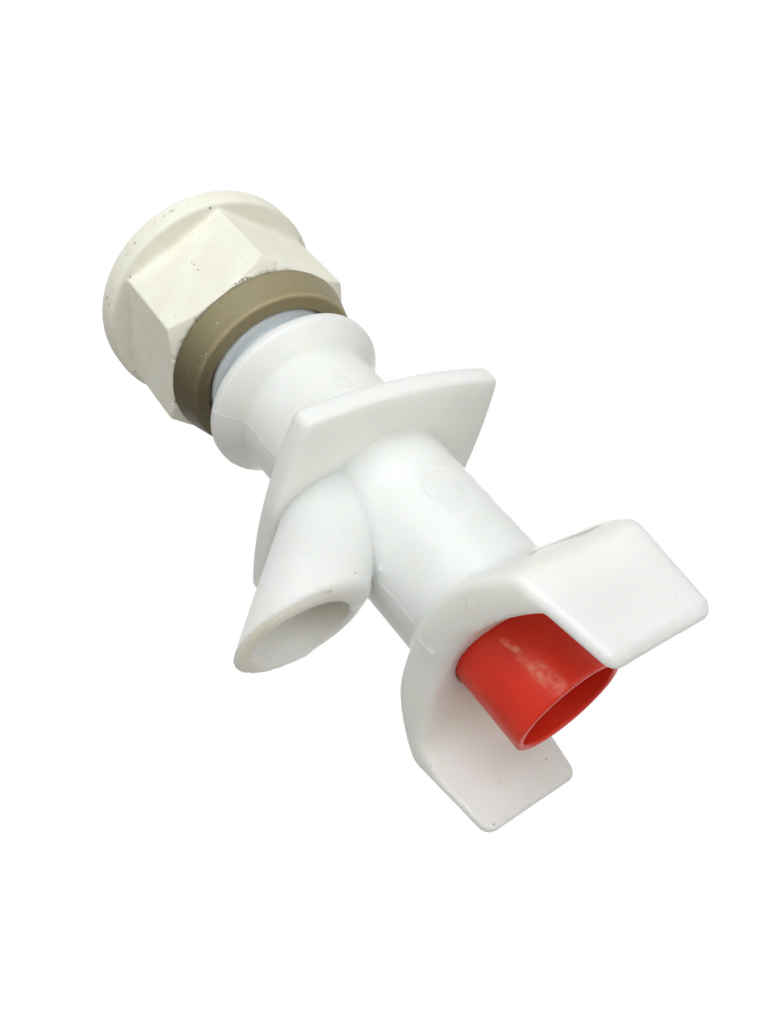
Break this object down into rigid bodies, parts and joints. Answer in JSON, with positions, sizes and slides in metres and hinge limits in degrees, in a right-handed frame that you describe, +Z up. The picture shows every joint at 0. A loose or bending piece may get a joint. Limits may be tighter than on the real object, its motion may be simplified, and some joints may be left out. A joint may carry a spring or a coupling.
{
  "type": "cooler spigot",
  "caption": "Push-button cooler tap: threaded shank with nut and gasket, round flange, barrel with square plate, slanted spout, and a winged finger grip round a sprung button.",
  "frame": {"origin": "centre of the round flange's back face, which bears on the cooler's wall, on the shank's axis", "axes": "+Y along the shank towards the inside of the cooler, +Z up with the spout pointing down to -Z, +X to the right seen from the front, where the button is"},
  "size_m": [0.0392, 0.1, 0.0532],
  "materials": {
    "body_plastic": "satin moulded",
    "nut_plastic": "satin moulded",
    "gasket_rubber": "matt",
    "button_plastic": "satin moulded",
    "stem_plastic": "satin moulded",
    "seal_rubber": "matt",
    "spring_steel": "drawn wire"
  },
  "bodies": {
    "spigot": {"spigot_body": "body_plastic", "stem_guide": "stem_plastic", "return_spring": "spring_steel"},
    "plunger": {"push_button": "button_plastic", "plunger_stem": "stem_plastic", "valve_seal": "seal_rubber", "stem_o_ring": "seal_rubber"},
    "gasket": {"gasket": "gasket_rubber"},
    "nut": {"hex_nut": "nut_plastic"}
  },
  "joints": [
    {"name": "button_press", "type": "slide", "parent": "spigot", "child": "plunger", "axis": [0, 1, 0], "range_m": [0, 0.005], "stiffness_N_per_m": 600, "springref_m": -0.01, "deforming": ["return_spring"]},
    {"name": "gasket_slide", "type": "slide", "parent": "spigot", "child": "gasket", "axis": [0, 1, 0], "range_m": [-0.0049, 0.0201]},
    {"name": "nut_turn", "type": "hinge", "parent": "gasket", "child": "nut", "pos_m": [0, 0, 0], "axis": [0, 1, 0], "range_deg": [-576, 2400]}
  ],
  "couplings": [
    {"joint": "gasket_slide", "follows": "nut_turn", "m_per_rad": 0.00047746}
  ]
}
